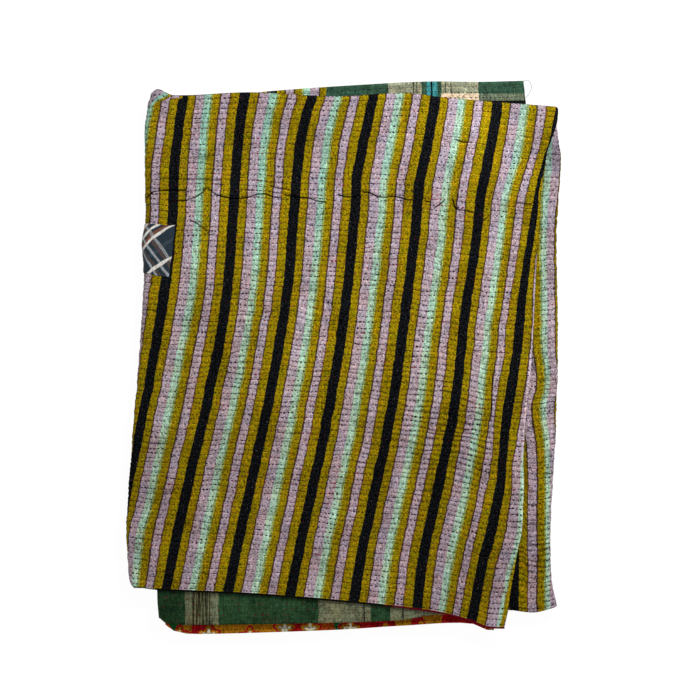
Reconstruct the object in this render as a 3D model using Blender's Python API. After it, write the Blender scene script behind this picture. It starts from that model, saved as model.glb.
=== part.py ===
"""A kantha quilt, folded in half and then back and forth in four, with a sewn-on patch.

The quilt is one sheet. Its first fold runs along X at the top edge and gives two plies, and
three more folds along Y lay that pair back and forth in four panels, so the bundle is eight
plies high. Side A of the pair is on top in the upper panel, and side B lies under it.
"""

import math
from collections import namedtuple

import bmesh
import bpy
from mathutils import Vector, noise

# Sizes in metres.
CLOTH = 0.0028  # thickness of the quilted cloth
PITCH = 0.0036  # from one ply's middle to the next
PLIES = 8
OUTER = 1.5 * PITCH + CLOTH / 2  # from the middle of a side fold to its outermost face
TIP = PITCH / 2 + CLOTH / 2  # from the middle of the top fold to its outermost face
HEM_ROUND = 0.0009  # how far a hem's rounded edge stands out
UNDER = 0.0050  # a hidden ply stops this much short of the one above
ROWS = 96  # quilting rows over the upper panel
ROW_DEPTH = 0.00035  # half the height from a row's seam to the crest between seams
BULK = 0.0011  # rise and fall of the whole bundle
BULK_SPAN = 0.260
PATCH_CLOTH = 0.0009
PATCH_GAP = 0.0003
PATCH_ROWS = (23, 33)  # the quilting rows that the patch lies between
PATCH_TURN = 3  # the patch ends at this station of the left fold's arc

BLOCKS = 12  # stations along a ply before its rows are cut in
ARC = 4  # segments round every fold

Knot = namedtuple("Knot", "along across")


def line(*pairs):
    """A smooth line's knots, given in millimetres."""
    return [Knot(along / 1000, across / 1000) for along, across in pairs]


# Side edges: along is y, across is x.
LEFT_FOLD = line((334, -241), (311, -247), (273, -250), (169, -249), (139, -252.5), (107, -250.5),
                 (-1, -257), (-106, -265.5), (-211, -272.5), (-290, -270))
RIGHT_FOLD = line((312, 262), (246, 271.5), (158, 266), (42, 267.5), (-91, 265.5),
                  (-152, 261.5), (-260, 258.5), (-310, 266.5))
FREE_EDGE = line((314, 267.5), (293, 266), (267, 256.5), (235, 249), (102, 239), (9, 235),
                 (-103, 225), (-216, 222.5), (-249, 215.5), (-338, 201))

# Folded top edges and hems: along is x, across is y.
TOP_1 = line((-241, 334), (-232, 335.5), (-214, 328), (-118, 331.5), (-9, 326.5), (75, 330.5),
             (130, 324.5), (266, 313.5))
TOP_2 = line((-241, 326), (-150, 327), (-98, 333), (-2, 340), (103, 345.5), (166, 345), (226, 346.5))
HEM_1A = line((-262, -286), (-232, -290), (-105, -296.5), (30, -308), (112, -318),
              (156, -328.5), (178, -337), (201, -338.5))
HEM_1B = line((-232, -325), (-222, -332), (-169, -333.5), (-35, -331.5), (67, -328), (110, -321))
HEM_2A = line((-223, -334), (-202, -345), (-163, -345.5), (-10, -340.5), (70, -335.5),
              (156, -332), (180, -341))
HEM_2B = line((-225, -320), (100, -318), (205, -315.5), (238, -318.5), (265, -312))

# An old crease across the upper panel, and a pucker near its free edge.
CREASE = line((-249, 198), (-185, 210), (-130, 199), (0, 203), (110, 196), (162, 183), (250, 180))
CREASE_DEPTH = 0.0009
CREASE_WIDTH = 0.0040
PUCKER = Vector((0.209, 0.140))
PUCKER_RISE = 0.0014
PUCKER_WIDTH = 0.016

# Where an edge steps in: at is the x of the step, rise its change in y beyond it.
Step = namedtuple("Step", "at rise width side")
LEFT_CORNER = Step(at=-0.2330, rise=0.040, width=0.004, side=-1)
PRINT_CORNER = Step(at=-0.2250, rise=0.052, width=0.006, side=-1)
HIDDEN_CORNER = Step(at=-0.2250, rise=0.032, width=0.006, side=-1)
RIGHT_CORNER = Step(at=0.1880, rise=0.027, width=0.008, side=1)
TOP_CORNER = Step(at=0.2290, rise=-0.036, width=0.004, side=1)

# A panel's edges. inset shrinks a panel that is hidden under another.
Panel = namedtuple("Panel", "left right top top_steps hem_a steps_a hem_b steps_b inset up stations")
FRONT = (0, 0.030, 0.0545, 0.067, 0.22, 0.42, 0.62, 0.82, 0.93, 1)
SECOND = (0, 0.035, 0.0616, 0.074, 0.12, 0.28, 0.45, 0.62, 0.78, 0.845, 0.862, 0.879, 0.944,
          0.956, 1)
HIDDEN = (0, 0.050, 0.090, 0.36, 0.64, 0.85, 0.89, 0.93, 1)
PANELS = [
    Panel(LEFT_FOLD, FREE_EDGE, TOP_1, (), HEM_1A, (), HEM_1B, (LEFT_CORNER,), 0, 1, FRONT),
    Panel(LEFT_FOLD, RIGHT_FOLD, TOP_2, (TOP_CORNER,), HEM_2A, (PRINT_CORNER, RIGHT_CORNER),
          HEM_2B, (HIDDEN_CORNER,), 0, -1, SECOND),
    Panel(LEFT_FOLD, RIGHT_FOLD, TOP_2, (TOP_CORNER,), HEM_2A, (PRINT_CORNER, RIGHT_CORNER),
          HEM_2A, (PRINT_CORNER, RIGHT_CORNER), 1, 1, HIDDEN),
    Panel(LEFT_FOLD, RIGHT_FOLD, TOP_2, (TOP_CORNER,), HEM_2A, (PRINT_CORNER, RIGHT_CORNER),
          HEM_2A, (PRINT_CORNER, RIGHT_CORNER), 2, -1, HIDDEN),
]
FOLDS_LEFT = (True, False, True)  # whether the fold after each panel is a left one


def mix(a, b, t):
    return a + (b - a) * t


def smooth_step(t):
    t = min(max(t, 0.0), 1.0)
    return t * t * (3 - 2 * t)


def follow(knots, at):
    """The smooth line's value at a place along it; it runs level past its ends."""
    rising = sorted(knots)
    if at <= rising[0].along:
        return rising[0].across
    if at >= rising[-1].along:
        return rising[-1].across
    i = max(k for k, knot in enumerate(rising) if knot.along <= at)

    def slope(k):
        low, high = rising[max(k - 1, 0)], rising[min(k + 1, len(rising) - 1)]
        return (high.across - low.across) / (high.along - low.along)

    a, b = rising[i], rising[i + 1]
    gap = b.along - a.along
    t = (at - a.along) / gap
    return (a.across * (1 + 2 * t) * (1 - t) ** 2 + gap * slope(i) * t * (1 - t) ** 2
            + b.across * t * t * (3 - 2 * t) + gap * slope(i + 1) * t * t * (t - 1))


def stepped(edge, steps, x, inset):
    """An edge's y at x, with its corners stepped in, sooner on a hidden panel."""
    y = follow(edge, x)
    for step in steps:
        y += step.rise * smooth_step((step.side * (x - step.at) + inset) / step.width)
    return y


def section():
    """The stations round the pair of plies, as (side, v, turn, skin).

    v runs from 0 at the top fold to 1 at the hem, turn is the angle round the top fold, skin is
    1 on the outer face, -1 on the inner face and 0 on a hem's rounded edge.
    """
    plies = [k / BLOCKS for k in range(BLOCKS + 1)]
    turns = [math.pi * k / ARC for k in range(1, ARC)]
    outer = [("A", v, 0, 1) for v in reversed(plies)]
    outer += [("fold", 0, turn, 1) for turn in turns]
    outer += [("B", v, math.pi, 1) for v in plies]
    inner = [(side, v, turn, -1) for side, v, turn, _ in reversed(outer)]
    return outer + [("B", 1, math.pi, 0)] + inner + [("A", 1, 0, 0)]


def path():
    """The stations along the folded pair, as (panel, u, turn).

    u runs across a panel from its left edge to its right, and turn is the angle round the fold
    that follows the panel.
    """
    stations = []
    for number, panel in enumerate(PANELS):
        across = panel.stations if panel.up < 0 else tuple(reversed(panel.stations))
        stations += [(number, u, 0) for u in across]
        if number < len(PANELS) - 1:
            end = across[-1]
            stations += [(number, end, math.pi * k / ARC) for k in range(1, ARC)]
    return stations


def side_share(side, turn):
    """0 on side A, 1 on side B, between them round the top fold."""
    return {"A": 0.0, "B": 1.0}.get(side, (1 - math.cos(turn)) / 2)


def flat_place(number, u, side, v, turn):
    """The x and y of a station on a panel, on the middle of its ply."""
    panel = PANELS[number]
    inset = panel.inset * UNDER
    on_b = side_share(side, turn)
    free = panel.right is FREE_EDGE or number == len(PANELS) - 1
    x = y = 0.0
    for _ in range(5):
        left = follow(panel.left, y) + OUTER + (inset if number > 1 else 0)
        right = follow(panel.right, y)
        right -= (on_b * UNDER + inset if free else OUTER)
        x = mix(left, right, u)
        top = stepped(panel.top, panel.top_steps, x, inset) - TIP - inset
        hem_a = stepped(panel.hem_a, panel.steps_a, x, inset) + inset
        hem_b = stepped(panel.hem_b, panel.steps_b, x, inset) + inset
        y = mix(top, mix(hem_a, hem_b, on_b), v)
    return x, y


def bulk(x, y):
    """The bundle's slow rise and fall."""
    return BULK * noise.noise(Vector((x / BULK_SPAN, y / BULK_SPAN, 0.37)))


def front_relief(x, y):
    """What the upper face has above its plain level: the old crease and the pucker."""
    off = (y - follow(CREASE, x)) / CREASE_WIDTH
    away = (Vector((x, y)) - PUCKER).length / PUCKER_WIDTH
    return PUCKER_RISE * math.exp(-away * away) - CREASE_DEPTH * math.exp(-off * off)


def place(station, ring, lift=0.0):
    """A point of the quilt's skin, or lift above it on the outer face."""
    number, u, fold = station
    side, v, turn, skin = ring
    thick = PITCH / 2 + skin * CLOTH / 2
    out = (thick + lift) * math.cos(turn)  # along the pair's normal, towards side A
    x, y = flat_place(number, u, side, v, turn)
    panel = PANELS[number]
    if fold:
        x2, y2 = flat_place(number + 1, u, side, v, turn)
        share = fold / math.pi
        x, y = mix(x, x2, share), mix(y, y2, share)
    y += (thick + lift) * math.sin(turn) if side == "fold" else 0
    y -= HEM_ROUND if skin == 0 else 0
    level = PITCH * (PLIES - 1 - 2 * number) - (PITCH - CLOTH) / 2
    if fold:
        outward = 1 if FOLDS_LEFT[number] else -1
        radius = PITCH + outward * out
        x -= outward * radius * math.sin(fold)
        z = level - PITCH + radius * math.cos(fold)
    else:
        z = level + panel.up * out
    if number == 0 and side == "A" and skin == 1:
        fade = (1 + math.cos(fold)) / 2
        z += front_relief(x, y) * fade
    share = z / (PITCH * PLIES)
    return Vector((x, y, z + bulk(x, y) * share))


def ripple(row):
    """How far the cloth stands out at a quilting row: out on whole rows, in between them."""
    return ROW_DEPTH * math.cos(2 * math.pi * row)


def quilted(station, row, lift=0.0):
    """A point on the outer face of side A, with its quilting."""
    return place(station, ("A", row / ROWS, 0, 1), lift + ripple(row))


def material(name, colour, roughness):
    made = bpy.data.materials.new(name)
    made.use_nodes = True
    shader = made.node_tree.nodes["Principled BSDF"]
    shader.inputs["Base Color"].default_value = (*colour, 1)
    shader.inputs["Roughness"].default_value = roughness
    shader.inputs["Metallic"].default_value = 0
    return made


def add_object(name, bm, finish):
    bmesh.ops.recalc_face_normals(bm, faces=bm.faces)
    mesh = bpy.data.meshes.new(name)
    bm.to_mesh(mesh)
    bm.free()
    mesh.materials.append(finish)
    made = bpy.data.objects.new(name, mesh)
    bpy.context.scene.collection.objects.link(made)
    return made


def cap(bm, ring):
    """Closes an end of the pair: its outer stations face its inner ones."""
    outer = (len(ring) - 2) // 2
    inner = list(reversed(ring[outer + 1:-1]))
    for k in range(outer - 1):
        bm.faces.new((ring[k], ring[k + 1], inner[k + 1], inner[k]))
    bm.faces.new((ring[outer - 1], ring[outer], inner[-1]))
    bm.faces.new((ring[0], inner[0], ring[-1]))


def cut_rows(bm, grid, stations, rings):
    """Cuts the quilting rows into the front and its left fold, and raises them."""
    at, row = bm.verts.layers.float["station"], bm.verts.layers.float["row"]
    cut_stations = range(len(FRONT) + ARC)
    side_a = [k for k, (side, _, _, skin) in enumerate(rings) if side == "A" and skin == 1]
    edges = []
    for k in cut_stations:
        for ring in side_a:
            grid[k][ring][at] = k + 1
            grid[k][ring][row] = rings[ring][1] * ROWS
        edges += [bm.edges.get((grid[k][a], grid[k][b])) for a, b in zip(side_a, side_a[1:])]
    bmesh.ops.subdivide_edges(bm, edges=edges, cuts=2 * ROWS // BLOCKS - 1, use_grid_fill=True)
    for vert in bm.verts:
        k = round(vert[at]) - 1
        if 0 <= k < cut_stations[-1] and 0 < vert[row] < ROWS:
            vert.co = quilted(stations[k], round(2 * vert[row]) / 2)


def build_quilt():
    stations, rings = path(), section()
    bm = bmesh.new()
    bm.verts.layers.float.new("station")
    bm.verts.layers.float.new("row")
    grid = [[bm.verts.new(place(s, r)) for r in rings] for s in stations]
    for a, b in zip(grid, grid[1:]):
        for k in range(len(rings)):
            after = (k + 1) % len(rings)
            bm.faces.new((a[k], b[k], b[after], a[after]))
    cap(bm, grid[0])
    cap(bm, grid[-1])
    cut_rows(bm, grid, stations, rings)
    return add_object("quilt", bm, material("striped_cotton", (0.30, 0.21, 0.03), 0.9))


def build_patch():
    """The patch's two faces follow the quilt's own stations and rows, a seam's gap above it."""
    ends = len(FRONT)
    chosen = path()[ends - 3:ends + PATCH_TURN]
    first, last = PATCH_ROWS
    rows = [first + k / 2 for k in range(2 * (last - first) + 1)]
    bm = bmesh.new()
    sheets = [
        [[bm.verts.new(quilted(s, row, lift)) for row in rows] for s in chosen]
        for lift in (PATCH_GAP, PATCH_GAP + PATCH_CLOTH)
    ]
    for sheet in sheets:
        for a, b in zip(sheet, sheet[1:]):
            for k in range(len(rows) - 1):
                bm.faces.new((a[k], a[k + 1], b[k + 1], b[k]))
    under, over = sheets
    rim = [[(s, 0) for s in range(len(chosen))], [(len(chosen) - 1, r) for r in range(len(rows))],
           [(s, len(rows) - 1) for s in reversed(range(len(chosen)))],
           [(0, r) for r in reversed(range(len(rows)))]]
    for run in rim:
        for (s, r), (s2, r2) in zip(run, run[1:]):
            bm.faces.new((under[s][r], under[s2][r2], over[s2][r2], over[s][r]))
    return add_object("patch", bm, material("plaid_cotton", (0.03, 0.05, 0.08), 0.9))


def centre(things):
    """Puts the bundle's middle over the origin; it stands at z = 0 already."""
    corners = [Vector(corner) for thing in things for corner in thing.bound_box]
    shift = [-(min(c[k] for c in corners) + max(c[k] for c in corners)) / 2 for k in range(2)]
    for thing in things:
        thing.location = (*shift, 0)


def main():
    for thing in list(bpy.data.objects):
        bpy.data.objects.remove(thing)
    centre([build_quilt(), build_patch()])


main()
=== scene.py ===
"""The finished look of a folded kantha quilt: its cloth, stitches, sewn-on patch and loose thread.

The quilt is one cloth, doubled along its top edge and then folded back and forth in four panels.
Two running numbers give a place on it: along goes from the free edge through the panels and the
folds between them, and around goes round the doubled cloth. Lengths are in metres, and the
tables are in millimetres.
"""

import math
from collections import namedtuple

import bmesh
import bpy
import numpy as np
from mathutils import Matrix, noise


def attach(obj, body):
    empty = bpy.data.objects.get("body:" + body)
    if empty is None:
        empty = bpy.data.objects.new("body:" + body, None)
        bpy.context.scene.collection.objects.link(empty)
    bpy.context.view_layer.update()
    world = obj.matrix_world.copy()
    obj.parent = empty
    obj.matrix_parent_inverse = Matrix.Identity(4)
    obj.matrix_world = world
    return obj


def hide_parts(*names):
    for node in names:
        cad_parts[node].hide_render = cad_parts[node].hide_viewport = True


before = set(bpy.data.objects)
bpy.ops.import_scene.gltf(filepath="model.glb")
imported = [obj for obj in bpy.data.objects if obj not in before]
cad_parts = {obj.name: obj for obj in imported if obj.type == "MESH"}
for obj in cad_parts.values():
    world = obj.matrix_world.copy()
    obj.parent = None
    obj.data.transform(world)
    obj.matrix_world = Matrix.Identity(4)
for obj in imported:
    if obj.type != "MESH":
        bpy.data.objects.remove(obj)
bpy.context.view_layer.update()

# The cloth and its folds.
CLOTH = 0.0028  # thickness of the quilted cloth
PITCH = 0.0036  # from one ply's middle to the next
PLIES = 8
OUTER = 1.5 * PITCH + CLOTH / 2  # from the middle of a side fold to its outermost face
HALF_TURN = math.pi * OUTER  # the cloth round the outside of a side fold
TIP = PITCH / 2 + CLOTH / 2  # how far the doubled cloth reaches past the start of its top fold
PANEL = 0.50  # roughly how wide a panel is
HEM_ROUND = 0.0011  # how far a hem's rounded edge stands out
END_ROUND = 0.0016  # how far in from the free ends the cloth is thinned to a rounded edge
UNDER = 0.0050  # a hidden ply stops this much short of the one above
CORNER_DRAWN = 0.0125  # how far the upper panel's lower left corner is drawn up round its fold
ROWS = 96  # quilting rows over a panel
ROW_DEPTH = 0.00036  # half the height from a row's seam to the crest between seams
BULK = 0.0011  # rise and fall of the whole bundle
BULK_SPAN = 0.260  # how far that takes from rise to fall
HALFWAY = 1.57  # round the top fold, past this angle a place is on the doubled cloth's lower side
SHIFT = np.array((0.00093, -0.00016, 0))  # from the tables' origin to the bundle's middle

STITCH = 0.0051  # from one stitch to the next
STEP = 0.37  # times the row's number squared: how far its stitches are shifted
ROW = 0.0066  # about the height of a row on the cloth
STRIPE = 0.0756  # one repeat of the stripes
STRIPE_TRIM = 0.0007  # how much further right than their lines the stripes lie


def line(*pairs):
    """A smooth line's knots, along and across, given in millimetres."""
    return np.array(sorted(pairs), float) / 1000


# Side edges: along is y, across is x.
LEFT_FOLD = line((334, -241), (311, -247), (273, -250), (169, -249), (139, -252.5), (107, -250.5),
                 (-1, -257), (-106, -265.5), (-211, -272.5), (-290, -270))
RIGHT_FOLD = line((312, 262), (246, 271.5), (158, 266), (42, 267.5), (-91, 265.5),
                  (-152, 261.5), (-260, 258.5), (-310, 266.5))
FREE_EDGE = line((314, 267.5), (293, 266), (267, 256.5), (235, 249), (102, 239), (9, 235),
                 (-103, 225), (-216, 222.5), (-249, 215.5), (-338, 201))

# Folded top edges and hems: along is x, across is y.
TOP_1 = line((-241, 334), (-232, 335.5), (-214, 328), (-118, 331.5), (-9, 326.5), (75, 330.5),
             (130, 324.5), (266, 313.5))
TOP_2 = line((-241, 326), (-150, 327), (-98, 333), (-2, 340), (103, 345.5), (166, 345), (226, 346.5))
HEM_1A = line((-262, -286), (-232, -290), (-105, -296.5), (30, -308), (112, -318),
              (156, -328.5), (178, -337), (201, -338.5))
HEM_1B = line((-232, -325), (-222, -332), (-169, -333.5), (-35, -331.5), (67, -328), (110, -321))
HEM_2A = line((-223, -334), (-219.5, -338.5), (-213, -342), (-202, -345), (-163, -345.5),
              (-10, -340.5), (70, -335.5), (156, -332), (180, -341))
HEM_2B = line((-225, -320), (100, -318), (205, -315.5), (238, -318.5), (265, -312))

# Where an edge steps in: at is the x of the step, rise its change in y beyond it.
Step = namedtuple("Step", "at rise width side")
LEFT_CORNER = Step(at=-0.2325, rise=0.040, width=0.002, side=-1)
PRINT_CORNER = Step(at=-0.2250, rise=0.052, width=0.006, side=-1)
HIDDEN_CORNER = Step(at=-0.2250, rise=0.032, width=0.006, side=-1)
RIGHT_CORNER = Step(at=0.1880, rise=0.027, width=0.008, side=1)
TOP_CORNER = Step(at=0.2245, rise=-0.036, width=0.0035, side=1)

# A panel's edges: on its upper ply (a) and its lower one (b). inset counts how often it is
# shrunk under another.
Panel = namedtuple("Panel", "left right top top_steps hem_a steps_a hem_b steps_b inset")
FOOT_2 = (HEM_2A, (PRINT_CORNER, RIGHT_CORNER))
SIDES_2 = (LEFT_FOLD, RIGHT_FOLD, TOP_2, (TOP_CORNER,))
PANELS = [
    Panel(LEFT_FOLD, FREE_EDGE, TOP_1, (), HEM_1A, (), HEM_1B, (LEFT_CORNER,), 0),
    Panel(*SIDES_2, *FOOT_2, HEM_2B, (HIDDEN_CORNER,), 0),
    Panel(*SIDES_2, *FOOT_2, *FOOT_2, 1),
    Panel(*SIDES_2, *FOOT_2, *FOOT_2, 2),
]

# How the stripes run on the upper panel: lines that keep one place in the repeat, given as
# repeats from the first black band's middle. Along is y, across is x.
UPPER_LINES = [
    (0, line((325, -202), (247, -212), (172, -216), (97, -223.5), (-53, -248.5), (-203, -279),
             (-290, -289))),
    (0.368, line((325, -175.5), (277, -181), (127, -191.5), (77, -196.5), (-173, -248),
                 (-223, -261), (-290, -267.5))),
    (1, line((332, -123.5), (325, -126), (272, -133), (172, -140), (72, -148), (-28, -166),
             (-178, -200), (-300, -226))),
    (2, line((330.5, -39), (318, -42.5), (306, -47.5), (247, -58), (47, -77), (-310, -149.5))),
    (3, line((325, 35), (222, 14.5), (197, 14), (47, -1.5), (-103, -27), (-153, -38.5),
             (-310, -71))),
    (5, line((325, 191), (297, 188.5), (222, 174), (197, 169), (147, 164.5), (47, 149.5),
             (-53, 138.5), (-153, 119), (-253, 98), (-325, 90))),
    (5.643, line((317, 242.5), (257, 233), (217, 221), (197, 216), (77, 199.5), (37, 193),
                 (17, 192), (-33, 186), (-73, 183.5), (-183, 164.5), (-263, 146), (-325, 134))),
    (5.763, line((317, 252), (297, 249.5), (257, 241), (197, 224.5), (157, 219.5), (37, 201),
                 (-3, 198), (-33, 191.5), (-83, 186), (-123, 184.5), (-183, 172), (-263, 154.5),
                 (-325, 142.5))),
    (5.917, line((320, 265), (282, 258), (221, 241), (157, 228.5), (57, 214), (7, 209), (-68, 197),
                 (-143, 190.5), (-203, 179.5), (-253, 167), (-338, 150.5))),
    (6, line((320, 270), (306, 268), (257, 252.5), (232, 247), (221, 243), (157, 234),
             (57, 219.5), (7, 214.5), (-93, 199.5), (-143, 197), (-203, 186), (-253, 173),
             (-338, 156))),
    (6.221, line((310, 284), (257, 257), (232, 253), (207, 246), (182, 247.5), (107, 237),
                 (32, 234), (-18, 229), (-93, 217.5), (-143, 209.5), (-168, 208.5), (-218, 201.5),
                 (-268, 188.5), (-338, 176))),
    (6.368, line((310, 296), (207, 262), (107, 246), (32, 243), (-43, 235), (-143, 219.5),
                 (-218, 215), (-268, 203), (-338, 190))),
    (6.49, line((310, 306), (207, 272), (107, 256), (-43, 244), (-143, 228.5), (-218, 223),
                (-268, 208.5), (-338, 194))),
]
# At the upper left corner the stripes turn towards the top edge: first how far down, then the x
# whose stripe shows there.
TURNED = ((0, 5.4, 8, 12.2, 13, 15.9, 16.9, 21.3, 22.6, 24),
          (-257, -250, -246.5, -241, -238.5, -231, -214, -210, -200, -180))
# Below their top fold the upper panel's rows run along this line, not along the fold's bumps.
ROW_TOP = line((-250, 331), (-118, 330.5), (-9, 328), (130, 323.5), (266, 313.5))
# The second panel's black band beside the free edge: along y, across x.
SECOND_BAND = line((335, 211), (257, 210.5), (157, 205), (57, 206), (7, 206.5), (-18, 210.5),
                   (-43, 209.5), (-68, 205.5), (-118, 211), (-303, 211.5))

# Creases pressed into the upper panel, as depth, half width and x, y points.
Crease = namedtuple("Crease", "depth width points")


def crease(depth, width, *points):
    return Crease(depth / 1000, width / 1000, np.array(points, float) / 1000)


CREASES = [
    crease(0.60, 1.3, (-249, 198), (-240.5, 206), (-234, 208), (-218, 209), (-198, 209)),
    crease(0.55, 1.3, (-218, 195), (-198, 196), (-185.5, 200.5), (-176.5, 206.5), (-173, 212)),
    crease(0.80, 1.5, (-173, 213), (-166.5, 208), (-161.5, 204), (-153, 201), (-143, 199),
           (-129, 198.5), (-118, 200.5), (-109, 204), (-98, 204.5), (-89, 200.5), (-80.5, 199.5)),
    crease(0.50, 1.3, (-94, 215.5), (-84, 211.5), (-74, 211), (-68, 208.5)),
    crease(0.75, 1.5, (-75.5, 203), (-60.5, 200.5), (-43, 199), (-35.5, 195.5), (-23, 194)),
    crease(0.30, 1.4, (-230.5, 224), (-205.5, 223), (-174, 222), (-153, 220.5)),
    crease(0.26, 1.3, (-147, 304), (-138.5, 301)),
    crease(0.30, 1.3, (-148, 295.5), (-138.5, 288.5)),
    crease(0.22, 1.3, (-164, 298.5), (-157.5, 293.5)),
    crease(0.26, 1.3, (-124, 290.5), (-113.5, 286)),
    crease(0.30, 1.3, (-125, 281), (-119, 273.5), (-111.5, 274)),
    crease(0.24, 1.3, (-150, 283), (-140, 275)),
    crease(0.50, 1.3, (-195, 172.5), (-185, 168), (-174, 160), (-170, 157.5)),
    crease(0.65, 1.4, (-9, 204), (1, 200.5), (9.5, 200.5), (16, 201)),
    crease(0.75, 1.5, (21, 207), (32, 206), (42, 200.5), (52, 200), (58.5, 201.5), (69.5, 200),
           (78.5, 197), (87, 196.5)),
    crease(0.60, 1.3, (99.5, 195.5), (109.5, 194)),
    crease(0.55, 1.3, (112, 186.5), (118.5, 190.5), (124.5, 195.5)),
    crease(0.60, 1.3, (134.5, 200.5), (138.5, 186.5), (143.5, 184.5), (154.5, 183), (162, 181.5)),
    crease(0.20, 1.3, (29.5, 183), (57, 180.5), (76, 179), (94.5, 179)),
    crease(0.40, 1.3, (174.5, 171.5), (181, 176.5)),
    crease(0.30, 1.2, (213, 193), (226, 191.5), (240, 189)),
    crease(0.26, 1.2, (209, 184.5), (222, 183), (238, 181)),
    crease(0.30, 1.2, (206, 176), (220, 173.5), (234, 172.5)),
    crease(0.24, 1.2, (223, 168.5), (236, 166.5)),
    crease(0.55, 1.3, (137, 273), (148, 269), (157, 269)),
    crease(0.40, 1.2, (-246, 60), (-234, 57.5)),
    crease(0.30, 1.4, (-195, 250), (-161, 252)),
    crease(0.60, 1.6, (186, -14), (184.5, -50), (183, -90)),
]
LIP_RISE, LIP_AT, LIP_WIDTH = 0.35, 2.6, 1.4  # the cloth's rise beside a crease, in its own sizes
DARK_DEPTH = 0.0006  # a crease this deep gets its painted shade in full
NEAR, FAR = 0.006, 0.02  # how near a crease's painted shade reaches, and what stands for no crease
PUCKER = (0.209, 0.140)  # where the upper panel puckers up
PUCKER_RISE, PUCKER_WIDTH = 0.0014, 0.016

# Painted light and shade in round spots: where the faces that show are a little darker or paler, given
# as x, y and reach, and the change in thousandths.
# The next table is where the rows' seams get more painted shade, or less.
LIGHT_AND_SHADE_SPOTS = ((-143, 272, 75, -60), (-130, 182, 90, 150), (82, 15, 90, 60), (128, 200, 55, -110),
         (-245, -150, 50, -210), (228, 290, 30, -130), (165, 292, 45, 160), (268, 252, 24, -360),
         (150, -275, 60, -140), (-60, 287, 55, -150), (-68, 6, 52, 130), (-121, -106, 45, -140),
         (51, -272, 42, 170), (113, -22, 50, 90), (-243, 326, 13, -280))
SEAM_SHADE_SPOTS = ((100, -85, 80, 1000), (158, -120, 50, 600), (150, 262, 75, -1000), (-160, 20, 60, 500),
          (-120, -265, 90, -700), (250, -240, 45, 1300))
# Painted shadows in dark hollows of the second panel: x, y and how far they reach across and along.
PAINTED_SHADOWS = ((237.8, -12, 2.2, 10), (262.9, -98.5, 1.2, 7))

LEGS = 7  # four panels and the three folds between them
PARTS = 8  # upper ply, top fold, lower ply and hem outside, then the same inside
BLOCKS = 12  # stops round a ply before its rows are cut in
STRIPED, CHECKED, PRINTED, PIECED = range(4)  # the cloth's finishes
OUTSIDE = 3.6  # the stripes end round the hem, and the check begins
CHECK_ENDS = 5.5  # round the inner fold the check meets the print
STRIP = (2.433, 2.946)  # how far along the second panel's fold the pieced strip runs
MANY = 1e5  # more than any piece has corners


def follow(knots, at):
    """The smooth line's value at places along it; it runs level past its ends."""
    along, across = knots.T
    at = np.clip(at, along[0], along[-1])
    i = np.clip(np.searchsorted(along, at, side="right") - 1, 0, len(along) - 2)
    k = np.arange(len(along))
    low, high = np.maximum(k - 1, 0), np.minimum(k + 1, len(along) - 1)
    slope = (across[high] - across[low]) / (along[high] - along[low])
    gap = along[i + 1] - along[i]
    t = (at - along[i]) / gap
    return (across[i] * (1 + 2 * t) * (1 - t) ** 2 + gap * slope[i] * t * (1 - t) ** 2
            + across[i + 1] * t * t * (3 - 2 * t) + gap * slope[i + 1] * t * t * (t - 1))


def smooth_step(t):
    t = np.clip(t, 0, 1)
    return t * t * (3 - 2 * t)


def stepped(edge, steps, x, inset):
    """An edge's y at x, with its corners stepped in, sooner on a hidden panel."""
    y = follow(edge, x)
    for step in steps:
        y = y + step.rise * smooth_step((step.side * (x - step.at) + inset) / step.width)
    return y


def patchy(x, y, wide, high, seed):
    """Smooth unevenness between about -1 and 1, its patches wide by high."""
    return np.array([noise.noise((a, b, seed)) for a, b in zip(x / wide, y / high)])


def sides(number, y, on_b):
    """The x of a panel's left and right ends, at the middle of its ply."""
    panel = PANELS[number]
    inset = panel.inset * UNDER
    left = follow(panel.left, y) + OUTER + (inset if number > 1 else 0)
    right = follow(panel.right, y) - (on_b * UNDER + inset if number in (0, 3) else OUTER)
    return left, right


def ends(number, x, on_b):
    """The y of a panel's top fold and hem."""
    panel = PANELS[number]
    inset = panel.inset * UNDER
    top = stepped(panel.top, panel.top_steps, x, inset) - TIP - inset
    hem_a = stepped(panel.hem_a, panel.steps_a, x, inset) + inset
    hem_b = stepped(panel.hem_b, panel.steps_b, x, inset) + inset
    return top, hem_a + (hem_b - hem_a) * on_b


def down_at(number, x, on_b, v):
    """The y of a row at x: v runs from 0 at the top fold to 1 at the hem."""
    top, hem = ends(number, x, on_b)
    start = follow(ROW_TOP, x) - TIP if number == 0 else top
    return start + (hem - start) * v + (top - start) * np.exp(-26 * v)


def lie(number, u, on_b, v):
    """The x and y of places on a panel: u from its left to its right, v from its fold to its hem."""
    x, y = np.zeros_like(u), np.zeros_like(u)
    for _ in range(5):
        left, right = sides(number, y, on_b)
        x = left + (right - left) * u
        y = down_at(number, x, on_b, v)
    return x, y


Spot = namedtuple("Spot", "number u fold v turn skin round_off")


def spots(along, around):
    """What two running numbers mean: along goes through the legs, around through the parts."""
    leg = np.clip(along.astype(int), 0, LEGS - 1)
    t = along - leg
    number, bent = leg // 2, leg % 2 == 1
    u = np.where(bent, number % 2, np.where(number % 2 == 1, t, 1 - t))
    part = np.clip(around.astype(int), 0, PARTS - 1)
    s = around - part
    one, none = np.ones_like(s), np.zeros_like(s)
    half = math.pi * s
    v = np.choose(part, (1 - s, none, s, one, 1 - s, none, s, one))
    turn = np.choose(part, (none, half, math.pi * one, math.pi * one, math.pi * one,
                            math.pi - half, none, none))
    skin = np.choose(part, (one, one, one, np.cos(half), -one, -one, -one, -np.cos(half)))
    round_off = np.where((part == 3) | (part == 7), np.sin(half), 0)
    return Spot(number, u, np.where(bent, t * math.pi, 0.0), v, turn, skin, round_off)


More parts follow.
